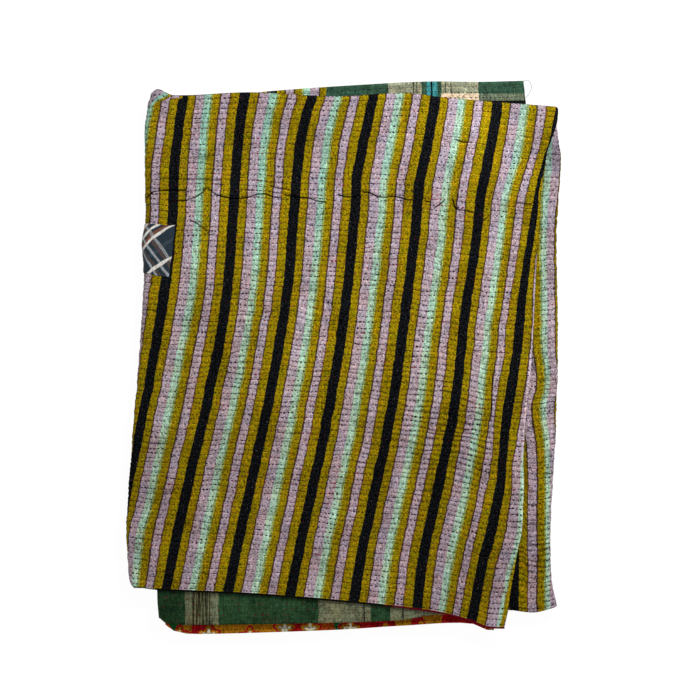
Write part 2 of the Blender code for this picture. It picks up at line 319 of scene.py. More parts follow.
def flat(spot):
    """The x and y of spots before their fold bends them, mixed between panels round a fold."""
    on_b = (1 - np.cos(spot.turn)) / 2
    x, y = np.zeros_like(spot.u), np.zeros_like(spot.u)
    for number in range(len(PANELS)):
        here = spot.number == number
        x[here], y[here] = lie(number, spot.u[here], on_b[here], spot.v[here])
        bent = here & (spot.fold > 0)
        if bent.any():
            x2, y2 = lie(number + 1, spot.u[bent], on_b[bent], spot.v[bent])
            share = spot.fold[bent] / math.pi
            x[bent] += (x2 - x[bent]) * share
            y[bent] += (y2 - y[bent]) * share
    return x, y


def place(along, around, lift=0.0):
    """Where spots lie in the bundle, lifted off the cloth's face by lift."""
    spot = spots(along, around)
    x, y = flat(spot)
    loose = smooth_step(np.minimum(spot.v, 1 - spot.v) * 12)  # the rows are sewn by hand
    wobble = 0.0040 * patchy(x, y, 0.050, 0.028, 6.6) + 0.0026 * patchy(x, y, 0.028, 0.0105, 1.9)
    y = y + wobble * loose
    x = x + 0.0008 * patchy(x, y, 0.030, 0.016, 5.5) + 0.0004 * patchy(x, y, 0.009, 0.0055, 8.8)
    from_end = np.minimum(along, LEGS - along) * PANEL
    thin = np.sqrt(1 - (1 - np.clip(from_end / END_ROUND, 0.02, 1)) ** 2)
    thick = PITCH / 2 + spot.skin * thin * CLOTH / 2 + lift
    out = thick * np.cos(spot.turn)
    y = y + thick * np.sin(spot.turn) - HEM_ROUND * spot.round_off
    corner = np.sin(spot.fold) ** 3 * smooth_step(spot.v * 9 - 8)
    y += CORNER_DRAWN * np.where(spot.number == 0, corner, 0)
    level = PITCH * (PLIES - 1 - 2 * spot.number) - (PITCH - CLOTH) / 2
    way = np.where(spot.number % 2 == 0, 1, -1)
    radius = PITCH + way * out
    bent = spot.fold > 0
    x = np.where(bent, x - way * radius * np.sin(spot.fold), x)
    z = np.where(bent, level - PITCH + radius * np.cos(spot.fold), level + way * out)
    swell = patchy(x, y, BULK_SPAN, BULK_SPAN, 0.37) * BULK
    return np.stack((x, y, z + swell * z / (PITCH * PLIES)), 1)


def distance(points, x, y):
    """How far places are from a line through some points."""
    near = np.full_like(x, 9.0)
    for (x1, y1), (x2, y2) in zip(points, points[1:]):
        dx, dy = x2 - x1, y2 - y1
        t = np.clip(((x - x1) * dx + (y - y1) * dy) / (dx * dx + dy * dy), 0, 1)
        near = np.minimum(near, np.hypot(x - x1 - t * dx, y - y1 - t * dy))
    return near


def pillow(row):
    """A quilting row's height, from -1 in the seams to 1 between them."""
    return 2 * np.abs(np.cos(math.pi * row)) ** 0.8 - 1


def quilting(x, y, row):
    """How the outer faces rise between their seams, unevenly, with the crumple of washed cotton."""
    height = ROW_DEPTH * (0.70 + 1.0 * patchy(x, y, 0.022, 0.009, 2.1)) * pillow(row)
    height += 0.00040 * patchy(x, y, 0.013, 0.008, 7.7)
    return height + 0.00030 * patchy(x + 0.7 * y, y - 0.7 * x, 0.006, 0.0035, 4.2)


def pressed(x, y):
    """What the creases and the pucker do to the upper face: the height they give it, how far
    above or below the nearest crease a place is, and how dark that crease's painted shade is there."""
    height = np.zeros_like(x)
    beside, dark = np.full_like(x, FAR), np.zeros_like(x)
    # How strong the creases' painted shade is, broken up in patches.
    mottled = np.clip(0.98 + 0.5 * patchy(x, y, 0.011, 0.020, 1.7), 0.5, 1)
    for old in CREASES:
        off = distance(old.points, x, y) / old.width
        height -= old.depth * np.exp(-off * off)
        height += LIP_RISE * old.depth * np.exp(-((off - LIP_AT) / LIP_WIDTH) ** 2)
        order = np.argsort(old.points[:, 0])
        across, along = old.points[order].T
        above = np.where(y > np.interp(x, across, along), 1, -1) * off * old.width
        near = (off * old.width < NEAR) & (np.abs(above) < np.abs(beside))
        within = smooth_step(np.minimum(x - across[0], across[-1] - x) / 0.003 + 0.5)
        beside = np.where(near, above, beside)
        dark = np.where(near, within * mottled * min(1, old.depth / DARK_DEPTH), dark)
    away = np.hypot(x - PUCKER[0], y - PUCKER[1]) / PUCKER_WIDTH
    return height + PUCKER_RISE * np.exp(-away * away), beside, dark


def blots(table, x, y):
    """How far each of a table's round spots changes some places."""
    for at, level, reach, change in np.array(table) / 1000:
        yield change * np.exp(-((x - at) ** 2 + (y - level) ** 2) / reach ** 2)


def ridged(x, y):
    """How much more painted shade the seams get at a place, or how much less."""
    return sum(blots(SEAM_SHADE_SPOTS, x, y))


def repeats(knots, x, y):
    """How many repeats of the stripes lie between the first black band and x."""
    at = np.stack([follow(band, y) for _, band in knots])
    share = np.array([place for place, _ in knots], float)
    i = np.clip((x > at[1:-1]).sum(0), 0, len(share) - 2)
    j = np.arange(len(x))
    t = (x - at[i, j]) / (at[i + 1, j] - at[i, j])
    return share[i] + (share[i + 1] - share[i]) * t


def upper_stripes(x, y):
    """The stripe repeat at a place of the upper panel, where the corner's stripes turn."""
    # How far down from the sloping top edge a place at the corner lies.
    down = 0.3357 - y + 0.45 * (x + 0.230) - 0.72 * np.maximum(0, -0.2335 - x)
    turned = np.interp(down * 1000, *TURNED) / 1000
    bend = (x < -0.18) & (turned < x)
    # Olive runs over the top fold there.
    capped = smooth_step((y - 0.3228) / 0.0015) * smooth_step((0.0075 - np.abs(x + 0.2085)) / 0.002)
    return repeats(UPPER_LINES, np.where(bend, turned, x) - STRIPE_TRIM, y) - 0.165 * capped


def second_stripes(x, y):
    """The stripe repeat at a place of the panel under it, which is turned over."""
    edge = 0.0034 * smooth_step((x - 0.250) / 0.008) * smooth_step((0.20 - y) / 0.02)
    x = x - STRIPE_TRIM - 0.0013 * smooth_step((x - 0.231) / 0.006) + edge
    return 1 - (x - follow(SECOND_BAND, y)) / STRIPE


def woven(along, around):
    """The cloth's own marks at each vertex: stripe repeat, column, row and so on."""
    spot = spots(along, around)
    x, y = flat(spot)
    arc = OUTER * spot.fold * np.where(spot.number % 2 == 0, -1, 1)
    x_flat = x + arc
    upper = (spot.number % 2) == 0
    stripe = np.where(upper, upper_stripes(x_flat, y), second_stripes(x_flat, y))
    column = x_flat / STITCH
    over_top = np.sin(spot.turn / 2) * TIP * 2.4 / ROW
    row = spot.v * ROWS - np.where(spot.v == 0, over_top, 0)
    return {"stripe": stripe, "column": column, "row": row, "flat_x": x_flat, "flat_y": y,
            "ply": spot.number * 2 + np.where(spot.turn > HALFWAY, 1, 0)}


# ---------------------------------------------------------------- finishes


def paint(red, green, blue):
    """A colour as it is seen, 0 to 255, as the shader takes it."""
    linear = [((c / 255 + 0.055) / 1.055) ** 2.4 if c > 10 else c / 3295 for c in (red, green, blue)]
    return (*linear, 1)


def widths(pairs, soft=0.0):
    """Ramp stops for bands given as width and colour; soft is how far they run into each other."""
    total = sum(width for width, _ in pairs)
    stops, at = [(0.0, pairs[0][1])], 0.0
    for (width, colour), (_, after) in zip(pairs, pairs[1:]):
        at += width / total
        stops += [(at - soft / total, colour), (at + soft / total, after)] if soft else [(at, after)]
    return stops


class Value:
    """A number that varies over the cloth. Sums written with it add their Math nodes."""

    def __init__(self, finish, socket):
        self.finish, self.socket = finish, socket

    def maths(self, operation, *others):
        return self.finish.add("Math", {"operation": operation}, self, *others)

    def __add__(self, other):
        return self.maths("ADD", other)

    def __mul__(self, other):
        return self.maths("MULTIPLY", other)

    def __sub__(self, other):
        return self.maths("SUBTRACT", other)

    def __truediv__(self, other):
        return self.maths("DIVIDE", other)

    def __rsub__(self, other):
        return self * -1 + other

    __radd__, __rmul__ = __add__, __mul__

    def fract(self):
        return self.maths("FRACT")

    def floor(self):
        return self.maths("FLOOR")

    def sine(self):
        return self.maths("SINE")

    def size(self):
        return self.maths("ABSOLUTE")

    def below(self, limit, soft):
        """1 below a limit, fading to 0 over a soft edge."""
        return self.finish.add("MapRange", {"interpolation_type": "SMOOTHSTEP"}, self,
                               limit - soft / 2, limit + soft / 2, 1.0, 0.0)

    def above(self, limit, soft):
        return 1 - self.below(limit, soft)


class Finish:
    """One material and the nodes behind it."""

    def __init__(self, name, roughness=0.9, **constants):
        self.material = bpy.data.materials.new(name)
        self.material.use_nodes = True
        self.tree = self.material.node_tree
        self.shader = self.tree.nodes["Principled BSDF"]
        self.shader.inputs["Roughness"].default_value = roughness
        for socket, value in constants.items():
            self.shader.inputs[socket.replace("_", " ")].default_value = value

    def feed(self, socket, value):
        if isinstance(value, Value):
            self.tree.links.new(value.socket, socket)
        elif value is not None:
            socket.default_value = value

    def add(self, kind, settings, *values, out=0, **named):
        node = self.tree.nodes.new("ShaderNode" + kind)
        for name, value in settings.items():
            if name == "stops":
                ramp = node.color_ramp
                for k, (at, colour) in enumerate(value):
                    stop = ramp.elements[k] if k < 2 else ramp.elements.new(at)
                    stop.position, stop.color = at, colour
            elif name == "blend":
                node.color_ramp.interpolation = value
            else:
                setattr(node, name, value)
        for socket, value in zip(node.inputs, values):
            self.feed(socket, value)
        for name, value in named.items():
            self.feed(node.inputs[name.replace("_", " ")], value)
        return Value(self, node.outputs[out])

    def mark(self, name):
        """One of the cloth's own marks."""
        return self.add("Attribute", {"attribute_name": name}, out="Fac")

    def point(self, x, y, z=0.0):
        return self.add("CombineXYZ", {}, x, y, z)

    def specks(self, point, scale, detail=2.0, roughness=0.5, distortion=0.0):
        return self.add("TexNoise", {}, Vector=point, Scale=scale, Detail=detail,
                        Roughness=roughness, Distortion=distortion)

    def flat_place(self):
        """Where a place is on the flat cloth, in millimetres."""
        return self.mark("flat_x") * 1000, self.mark("flat_y") * 1000

    def stretched(self, point, scale, turn=0.0):
        return self.add("Mapping", {}, Vector=point, Rotation=(0, 0, turn), Scale=scale)

    def chart(self, value, stops, blend="LINEAR"):
        return self.add("ValToRGB", {"blend": blend, "stops": stops}, value)

    def banded(self, along, bands):
        """A check's bands, one after another from where along is 0."""
        total = sum(width for width, _ in bands) * CHECK_SCALE
        return self.chart(along / total, widths(bands), "CONSTANT")

    def mix(self, share, first, second, kind="MIX"):
        node = self.tree.nodes.new("ShaderNodeMix")
        node.data_type, node.blend_type = "RGBA", kind
        for socket, value in ((0, share), (6, first), (7, second)):
            self.feed(node.inputs[socket], value)
        return Value(self, node.outputs[2])

    def dim(self, colour, light):
        """A colour made darker or lighter by a number."""
        return self.mix(1.0, colour, self.add("CombineColor", {}, light, light, light), "MULTIPLY")

    def finish(self, colour, height=None, strength=1.0, roughness=None):
        self.feed(self.shader.inputs["Base Color"], colour)
        if roughness is not None:
            self.feed(self.shader.inputs["Roughness"], roughness)
        if height is not None:
            normal = self.add("Bump", {}, Strength=strength, Distance=0.001, Height=height)
            self.feed(self.shader.inputs["Normal"], normal)
        return self.material


OLIVE, OLIVE_WARM = paint(153, 135, 10), paint(143, 100, 8)
LILAC, LILAC_PINK = paint(182, 163, 174), paint(186, 160, 168)
MINT, MINT_PALE = paint(180, 213, 187), paint(190, 217, 193)
BLACK, BLACK_WORN_AND_SHEEN = paint(1, 4, 7), paint(50, 50, 52)
DARK_LINE, DARK_WARM = paint(72, 52, 34), paint(86, 58, 42)
BLEED, BLEED_PALE = paint(146, 166, 100), paint(140, 150, 76)
STRIPES = ((6.3, BLACK, BLACK_WORN_AND_SHEEN), (8.7, OLIVE, OLIVE_WARM), (1.7, DARK_LINE, DARK_WARM),
           (11.1, LILAC, LILAC_PINK), (7.6, MINT, MINT_PALE), (2.8, BLEED, BLEED_PALE),
           (8.4, OLIVE, OLIVE_WARM), (2.0, DARK_LINE, DARK_WARM), (9.1, LILAC, LILAC_PINK),
           (1.6, DARK_LINE, OLIVE_WARM), (10.0, OLIVE, OLIVE_WARM), (6.3, BLACK, BLACK_WORN_AND_SHEEN))
THREAD = paint(44, 16, 30)
# Each stripe's darker tone where its seams pinch, for soil and painted shade there.
SEAM_SHADE_TONES = ((15.1, paint(88, 64, 8)), (12.8, paint(92, 52, 86)), (7.6, paint(74, 96, 92)),
          (11.2, paint(88, 64, 8)), (12.7, paint(92, 52, 86)), (16.3, paint(88, 64, 8)))
# At the hem's edge: painted shadow under it, and the red of the print where that shows.
HEM_SHADOW, HEM_RED = paint(22, 20, 18), paint(110, 16, 34)
COOL, WARM = paint(244, 252, 255), paint(255, 250, 244)
# How the pale stripes' colour drifts from the foot of a panel to its top.
MINT_DRIFT = ((0.15, paint(255, 255, 254)), (0.5, paint(246, 245, 246)), (0.85, paint(238, 240, 242)))
LILAC_DRIFT = ((0.15, paint(247, 244, 246)), (0.5, paint(255, 255, 252)), (0.85, paint(243, 245, 248)))
MINT_COOLED = paint(238, 255, 255)  # the mint at the upper left
WEAVE = 12  # how fine the bump's weave is


def quilted_height(finish, column, row, cloth):
    """Bump height in millimetres: rows between seams, stitches pulled in, wrinkles and weave."""
    seam = (row.fract() - 0.5).size()
    wander = finish.specks(finish.point(column * 0.6, row.floor() * 3.1, 2), 1.0, 1.0) - 0.5
    shifted = column + row.floor() * row.floor() * STEP + wander * 1.2
    dash = (shifted.fract() - 0.5).size()
    wrinkle = finish.specks(finish.stretched(cloth, (0.75, 0.30, 1), turn=0.8), 1.0, 3.0)
    pull = seam.below(0.12, 0.24) * dash.below(0.22, 0.34)
    weave = (column * (STITCH * 1000 * WEAVE)).sine() * (row * (ROW * 1000 * WEAVE)).sine()
    height = seam.above(0.08, 0.16) * 0.10 + wrinkle * 2.0 - pull * 0.35 + weave * 0.03
    return height, seam, dash, shifted


def quilted(name, coloured, sewn=1.0, thread=THREAD, few=0.0):
    """A quilted cloth: its own colours, with mottling and drawn stitches, soil and painted shade in
    its seams, and painted shade in its creases.
    """
    f = Finish(name, roughness=0.95, Specular_IOR_Level=0.0)
    column, row = f.mark("column"), f.mark("row")
    cloth = f.point(column * (STITCH * 1000), row * (ROW * 1000), f.mark("ply") * 40)
    height, seam, dash, shifted = quilted_height(f, column, row, cloth)
    blotch = f.specks(cloth, 0.16, 4.0, 0.62)
    grain = f.specks(f.stretched(cloth, (0.72, 1, 1)), 0.66, 2.0, 0.8)
    soft = f.specks(f.stretched(cloth, (1, 0.6, 1)), 0.28, 2.0)
    broad = f.specks(cloth, 0.03, 3.0)
    light = (1.08 + (grain - 0.5) * (1.6 + 3.0 * sewn) + (soft - 0.5) * 1.4 + (blotch - 0.5) * 1.4
             + (broad - 0.5) * 1.2)
    seam_shade_here = f.mark("ridged")
    uneven = f.specks(f.point(column * 0.35, row.floor() * 0.9, f.mark("ply")), 1.0, 2.0)
    uneven = uneven + seam_shade_here * 0.03
    # Soil and painted shade round each stitch, and in patches along the seams.
    dimple_soil_and_shade = seam.below(0.10, 0.20) * dash.below(0.24, 0.30) * (uneven * 2.0).maths("MINIMUM", 1.3)
    seam_soil_and_shade = dimple_soil_and_shade * 0.52 + seam.below(0.08, 0.14) * uneven.above(0.60, 0.12) * 0.42
    colour = coloured(f, cloth, blotch, grain, seam_soil_and_shade.maths("MINIMUM", 0.75))
    light = light * (1 - seam_soil_and_shade.maths("MINIMUM", 0.8) * 0.5 * sewn) * f.mark("shade")
    # Painted shade along the seams, more in some places and less in others.
    light = light * (1 - seam.below(0.28, 0.42) * seam_shade_here * (uneven * 0.6))
    cool = f.chart(f.specks(cloth, 0.045, 2.0), ((0.36, COOL), (0.64, WARM)))
    colour = f.mix(1.0, colour, cool, "MULTIPLY")
    # Painted shade in the creases.
    light = light * (1 - f.mark("creased") * f.mark("beside").size().below(0.96, 0.62))
    colour = f.dim(colour, light.maths("MAXIMUM", 0.06))
    each = f.point(shifted.floor(), row.floor())
    chosen = f.add("TexWhiteNoise", {"noise_dimensions": "2D"}, Vector=each)
    drawn = f.mark("drawn") * seam.below(0.075, 0.04) * dash.below(0.22, 0.06)
    colour = f.mix(drawn * chosen.above(few, 0.02), colour, thread)
    # The hem's edge: painted shadow under it towards the left, the red of the print where it shows to
    # the right.
    colour = f.mix(f.mark("hem").above(0.22, 0.2), colour,
                   f.mix((f.mark("flat_x") * 1000 + blotch * 60).above(86, 3), HEM_SHADOW, HEM_RED))
    return f.finish(colour, height, 0.9)


def stripes(f, cloth, blotch, grain, seam_soil_and_shade):
    """The woven stripes, worn in blotches, with a darker tone of each where the seams pinch, for soil
    and painted shade there.
    """
    wander = f.specks(cloth, 0.22, 2.0) - 0.5
    at = (f.mark("stripe") + wander * 0.030).fract()
    clean = f.chart(at, widths([(w, c) for w, c, _ in STRIPES], 0.3))
    mottled = f.chart(at, widths([(w, c) for w, _, c in STRIPES], 0.3))
    black = (at - 0.5).size().above(0.416, 0.006)
    # The black's pale specks stand for wear and for painted sheen.
    colour = f.mix(blotch.above(0.52, 0.3) * (0.6 - black * 0.6) + grain.above(0.65, 0.56) * black,
                   clean, mottled)
    x, up = f.mark("flat_x"), f.mark("flat_y") * 1.6 + 0.5
    mint = (at - 0.42).size().below(0.066, 0.02)
    lilac = (at - 0.294).size().below(0.146, 0.006) + (at - 0.704).size().below(0.12, 0.006)
    colour = f.mix(mint, colour, f.chart(up, MINT_DRIFT), "MULTIPLY")
    colour = f.mix(mint * up.above(0.72, 0.3) * x.below(0, 0.2), colour, MINT_COOLED, "MULTIPLY")
    colour = f.mix(lilac, colour, f.chart(up, LILAC_DRIFT), "MULTIPLY")
    olive = 1 - (black + lilac + mint).maths("MINIMUM", 1.0)
    light = 1 + (grain - 0.5) * (olive * 0.8 - mint * 1.2) + (blotch - 0.5) * olive * 0.8
    colour = f.dim(colour, light)
    return f.mix(seam_soil_and_shade * (1 - black), colour, f.chart(at, widths(SEAM_SHADE_TONES, 0.3)))


GREEN, BEIGE, PIN = paint(44, 72, 46), paint(122, 124, 96), paint(60, 58, 40)
TOP_GREEN, TOP_BEIGE, GREY_BEIGE = paint(50, 80, 63), paint(142, 144, 120), paint(102, 112, 92)
TEAL, PEACH = paint(60, 132, 136), paint(220, 192, 162)
INK = paint(16, 22, 22)


def fine_threads(f, colour, amount):
    """Fine threads of another shade, mostly down the cloth, as in a yarn-dyed check."""
    x, y = f.flat_place()
    down = f.specks(f.point(x, y * 0.08), 0.62, 3.0, 0.7) - 0.5
    across = f.specks(f.point(x * 0.08, y), 0.8, 2.0) - 0.5
    return f.dim(colour, 1 + down * (amount * 2.4) + across * amount)


CHECK_SCALE = 1.25
REVERSE_CHECK = ((26, GREEN), (6.4, BEIGE), (18, PIN), (8, BEIGE), (100, GREEN), (40.5, BEIGE),
                 (1.0, INK), (4.6, BEIGE), (1.0, INK), (6, BEIGE), (19.5, GREEN), (6, BEIGE),
                 (0.9, INK), (6, BEIGE), (0.9, INK), (60, BEIGE))
STRIP_CHECK = ((63.5, TOP_GREEN), (25, TOP_BEIGE), (0.9, INK), (2.8, TOP_BEIGE), (0.9, INK),
               (3.9, TOP_BEIGE), (5, TOP_GREEN), (4.6, TEAL), (1.2, INK), (5, TEAL), (4.4, TOP_GREEN),
               (3.4, TOP_BEIGE), (0.8, INK), (5.2, TOP_BEIGE), (0.8, INK), (26.1, TOP_BEIGE),
               (60, TOP_GREEN))


def reverse_check(f, cloth, blotch, grain, seam_soil_and_shade):
    """The green checked cloth on one side of the back."""
    x, y = f.flat_place()
    colour = f.banded(x + 232, REVERSE_CHECK)
    pins = f.specks(f.point(x, y * 0.03), 0.55, 1.0)
    pins = pins.above(0.52, 0.08) * x.above(-191, 0.5) * x.below(-169, 0.5)
    colour = f.mix(pins * 0.85, colour, paint(138, 136, 100))
    return fine_threads(f, f.dim(colour, 1 - x.below(-164, 12) * 0.3), 0.75)


def strip_check(f, cloth, blotch, grain, seam_soil_and_shade):
    """The checked cloth pieced into the second panel, along its top fold."""
    x, y = f.flat_place()
    colour = f.banded(x + 25.4, STRIP_CHECK)
    lower = y.below(330.2, 0.5) * x.above(121, 0.5)
    pale = f.mix(x.above(168, 0.4), PEACH, GREY_BEIGE)
    colour = f.mix(lower, colour, pale)
    colour = f.mix(y.below(321.5, 0.5) * x.above(168, 0.4), colour, INK)
    return fine_threads(f, colour, 0.5)


RED, GOLD, LEAF = paint(176, 24, 28), paint(186, 122, 22), paint(26, 104, 48)
ORANGE, CREAM = paint(182, 78, 20), paint(236, 226, 196)
GROUNDS = ((0.0, ORANGE), (0.36, LEAF), (0.44, GOLD), (0.50, RED), (0.59, GOLD), (0.64, LEAF))
FLOWER = 44  # millimetres from one flower to the next


def flower_print(f, cloth, blotch, grain, seam_soil_and_shade):
    """A plain printed repeat of round five-petalled flowers on bands of red, gold and green."""
    x, y = f.flat_place()
    point = f.point(x / FLOWER, y / FLOWER)
    settings = {"voronoi_dimensions": "2D"}
    near = f.add("TexVoronoi", settings, Vector=point, Scale=1.0, Randomness=0.35)
    middle = f.add("TexVoronoi", settings, Vector=point, Scale=1.0, Randomness=0.35, out="Position")
    dx = x / FLOWER - f.add("SeparateXYZ", {}, middle)
    dy = y / FLOWER - f.add("SeparateXYZ", {}, middle, out=1)
    petal = near - (dy.maths("ARCTAN2", dx) * 5).sine() * 0.06
    ground = f.chart(f.specks(f.point(x / 90, y / 300), 1.0, 1.0), GROUNDS, "CONSTANT")
    colour = f.mix(petal.below(0.30, 0.02), ground, RED)
    colour = f.mix(petal.below(0.23, 0.02), colour, GOLD)
    colour = f.mix(petal.below(0.13, 0.02), colour, CREAM)
    # Painted shade of the print's fold lines, in streaks.
    fold_shade = f.specks(f.point(x, y * 0.16), 0.8, 3.0)
    return f.dim(colour, 0.25 + fold_shade * 1.5)


NAVY, SLATE, WHITE = paint(33, 50, 62), paint(50, 66, 78), paint(226, 226, 220)
BROWN, RUST, GREY = paint(82, 68, 58), paint(116, 76, 50), paint(152, 160, 166)
RISING = ((13.5, NAVY), (3.8, WHITE), (13, NAVY), (4, SLATE), (12.7, NAVY), (3.3, WHITE), (3.9, RUST),
          (3.5, NAVY), (3.5, WHITE), (5, NAVY), (2.4, RUST), (2.8, WHITE), (4.6, NAVY))
FALLING = ((3.8, NAVY), (2.8, GREY), (1, NAVY), (2.5, BROWN), (5, NAVY), (3.3, GREY), (5.2, NAVY),
           (3.8, BROWN), (0.9, NAVY), (1.5, GREY), (0.5, BROWN), (1.5, GREY), (28.2, NAVY))


def patch_check():
    """The patch's dark madras: bands both ways, set on the bias."""
    f = Finish("patch_cotton", roughness=0.85, Specular_IOR_Level=0.25, Sheen_Weight=0.1)
    x, y = f.flat_place()
    # Across the bands that rise to the right, and across those that fall. They bend at the fold.
    p = y * 0.839 - x * 0.545 + (-240 - x).maths("MAXIMUM", 0) * 0.4
    q = x * 0.814 + y * 0.581 - (-246 - x).maths("MAXIMUM", 0) * 0.5
    rising = f.chart((p - 208) / 76, widths(RISING, 0.25))
    falling = f.chart((q + 136) / 60, widths(FALLING, 0.25))
    fine = (x * 9.2).sine() * (y * 9.2).sine()
    colour = f.mix(1.0, rising, falling, "LIGHTEN")
    dashes = f.specks(f.point(q * 0.5, p * 0.2), 1.0, 1.0).above(0.56, 0.06)
    dashes = dashes * p.above(209, 1) * p.below(270, 1)
    tinted = f.mix(dashes, paint(255, 255, 255), paint(236, 204, 186))
    colour = f.mix(0.8, colour, tinted, "MULTIPLY")
    grain = f.specks(f.point(x, y), 0.7, 3.0, 0.7)
    # The weave's relief is painted in as a little shade, and given as bump too.
    colour = f.dim(colour, 0.4 + grain * 1.2 + fine * 0.06)
    return f.finish(colour, fine * 0.05 + grain * 0.35, 0.8)


# The threads' colours, and where a stitch's tint finds them.
THREADS = ((0.0, paint(16, 10, 18)), (0.30, paint(64, 22, 52)), (0.42, paint(66, 40, 8)),
           (0.58, paint(98, 44, 10)), (0.75, paint(146, 22, 52)), (0.85, paint(112, 108, 108)),
           (1.0, paint(132, 130, 124)))
PLUM_DARK, PLUM, RUSTY = (0, 0.1), (0.24, 0.32), (0.42, 0.58)
RED_TINT, GREY_TINT, PALE_TINT = 0.75, 0.87, 1.0


def thread_finish():
    """Sewing thread, twisted, in the colour that each stitch's tint gives."""
    f = Finish("sewing_thread", roughness=0.7, Specular_IOR_Level=0.3)
    colour = f.chart(f.mark("tint"), THREADS)
    twist = (f.add("SeparateXYZ", {}, f.add("TexCoord", {}, out="Object")) * 9000).sine()
    # The twist's relief is painted in as a little shade, and given as bump too.
    return f.finish(f.dim(colour, 0.9 + twist * 0.1), twist * 0.03, 0.5)


# ---------------------------------------------------------------- pieces


def set_marks(mesh, marks):
    """Numbers at each corner, which the finishes read."""
    for name, values in marks.items():
        layer = mesh.attributes.new(name, "FLOAT", "POINT")
        layer.data.foreach_set("value", np.asarray(values, np.float32))


def to_object(name, mesh, *finishes):
    """A smooth object of a mesh, linked to the scene."""
    for finish in finishes:
        mesh.materials.append(finish)
    mesh.shade_smooth()
    made = bpy.data.objects.new(name, mesh)
    bpy.context.scene.collection.objects.link(made)
    return made


def to_mesh(name, bm):
    mesh = bpy.data.meshes.new(name)
    bm.to_mesh(mesh)
    bm.free()
    return mesh


def corner_order(face):
    first, second, third = sorted(vert.index for vert in face.verts)[:3]
    return (first * MANY + second) * MANY + third


def laid(name, bm, places):
    """A piece's mesh, its corners put in their places and its faces turned outwards. The faces
    are sorted too, as the operators leave their order to chance."""
    for vert, co in zip(bm.verts, places):
        vert.co = co
    bmesh.ops.recalc_face_normals(bm, faces=bm.faces)
    bm.verts.index_update()
    bm.faces.sort(key=corner_order)
    return to_mesh(name, bm)


def stations():
    """The stops along the doubled cloth, closer where it shows or ends. Some lie where the
    stepped edges, the pieced strip and the printed cloth need them."""
    edge = [0, 0.0008, 0.0019, 0.0034]
    fold = [k / 8 for k in range(8)]
    first = sorted(edge + list(np.linspace(0.0065, 1, 156)[:-1]) + [0.9335, 0.9375])
    second = [k / 32 for k in range(30)] + [0.9375 + k * 0.0625 / 12 for k in range(12)]
    second = sorted(set(second) | {0.4331, 0.0616, 0.0740, 0.845, 0.862, 0.879, 0.9333, 0.9355,
                                   0.94, 0.9535})
    third = [0, 0.05, 0.09, 0.16, 0.24, 0.36, 0.48, 0.60, 0.72, 0.84, 0.88, 0.93, 0.965]
    fourth = [1 - t for t in reversed(third[1:])]
    last = sorted({0.0} | set(fourth)) + [1 - t for t in reversed(edge)]
    legs = [first, fold, second, fold, third, fold, last]
    return [k + t for k, leg in enumerate(legs) for t in leg]


def ring_stops():
    """The stops round the doubled cloth, block by block."""
    ply = [k / BLOCKS for k in range(BLOCKS)]
    fold = [k / 6 for k in range(6)]
    hem = [k / 4 for k in range(4)]
    parts = [ply, fold, ply, hem, ply, fold, ply, hem]
    return [k + t for k, part in enumerate(parts) for t in part]


def cut_rows(bm, along_in, around_in, cuts):
    """Cuts the quilting rows into the plies' long faces, for a stretch along and around."""
    along, around = bm.verts.layers.float["along"], bm.verts.layers.float["around"]
    chosen = []
    for edge in bm.edges:
        a, b = edge.verts
        middle = (a[around] + b[around]) / 2
        if (abs(a[along] - b[along]) < 1e-6 and abs(a[around] - b[around]) < 0.1
                and along_in[0] <= a[along] <= along_in[1] and around_in[0] < middle < around_in[1]):
            chosen.append(edge)
    bmesh.ops.subdivide_edges(bm, edges=chosen, cuts=cuts, use_grid_fill=True)


def close_end(bm, along_at):
    """Closes an end of the doubled cloth: its outer edge is bridged to its inner one."""
    along, around = bm.verts.layers.float["along"], bm.verts.layers.float["around"]

    def open_edges():
        return [e for e in bm.edges if e.is_boundary and abs(e.verts[0][along] - along_at) < 1e-6]

    rim = open_edges()
    outer = [e for e in rim if max(v[around] for v in e.verts) <= 3 and e.calc_length() > 0
             and abs(e.verts[0][around] - e.verts[1][around]) < 1]
    inner = [e for e in rim if 4 <= min(v[around] for v in e.verts)
             and max(v[around] for v in e.verts) <= 7]
    bmesh.ops.bridge_loops(bm, edges=outer + inner)
    bmesh.ops.holes_fill(bm, edges=open_edges(), sides=0)


def drawn_skin():
    """One closed skin: a ring round the doubled cloth, drawn along the four panels, with its
    quilting rows cut in where they show."""
    along_stops, around_stops = stations(), ring_stops()
    bm = bmesh.new()
    along = bm.verts.layers.float.new("along")
    around = bm.verts.layers.float.new("around")
    ring = bmesh.ops.create_circle(bm, segments=len(around_stops), radius=1)["verts"]
    for vert, stop in zip(ring, around_stops):
        vert[around] = stop
    edges = list(bm.edges)
    for stop in along_stops[1:] + [float(LEGS)]:
        grown = bmesh.ops.extrude_edge_only(bm, edges=edges)["geom"]
        new = {v for v in grown if isinstance(v, bmesh.types.BMVert)}
        for vert in new:
            vert[along] = stop
        edges = [e for e in grown if isinstance(e, bmesh.types.BMEdge) and set(e.verts) <= new]
    for stop in (0.0, float(LEGS)):
        close_end(bm, stop)
    block = 1 / BLOCKS
    cut_rows(bm, (0, 2.001), (0, 1), 31)  # the upper face and its left fold
    cut_rows(bm, (2.93, 4.001), (2, 3), 31)  # what shows beside the upper face, and its fold
    cut_rows(bm, (4.95, 6.05), (0, 1), 15)  # the lower left fold
    cut_rows(bm, (0, 1), (4, 4 + block), 15)  # the hems that show below
    cut_rows(bm, (2, 3), (7 - block, 7), 15)
    cut_rows(bm, (2, 2.92), (2, 2 + block), 15)  # the strip above the upper panel
    return bm


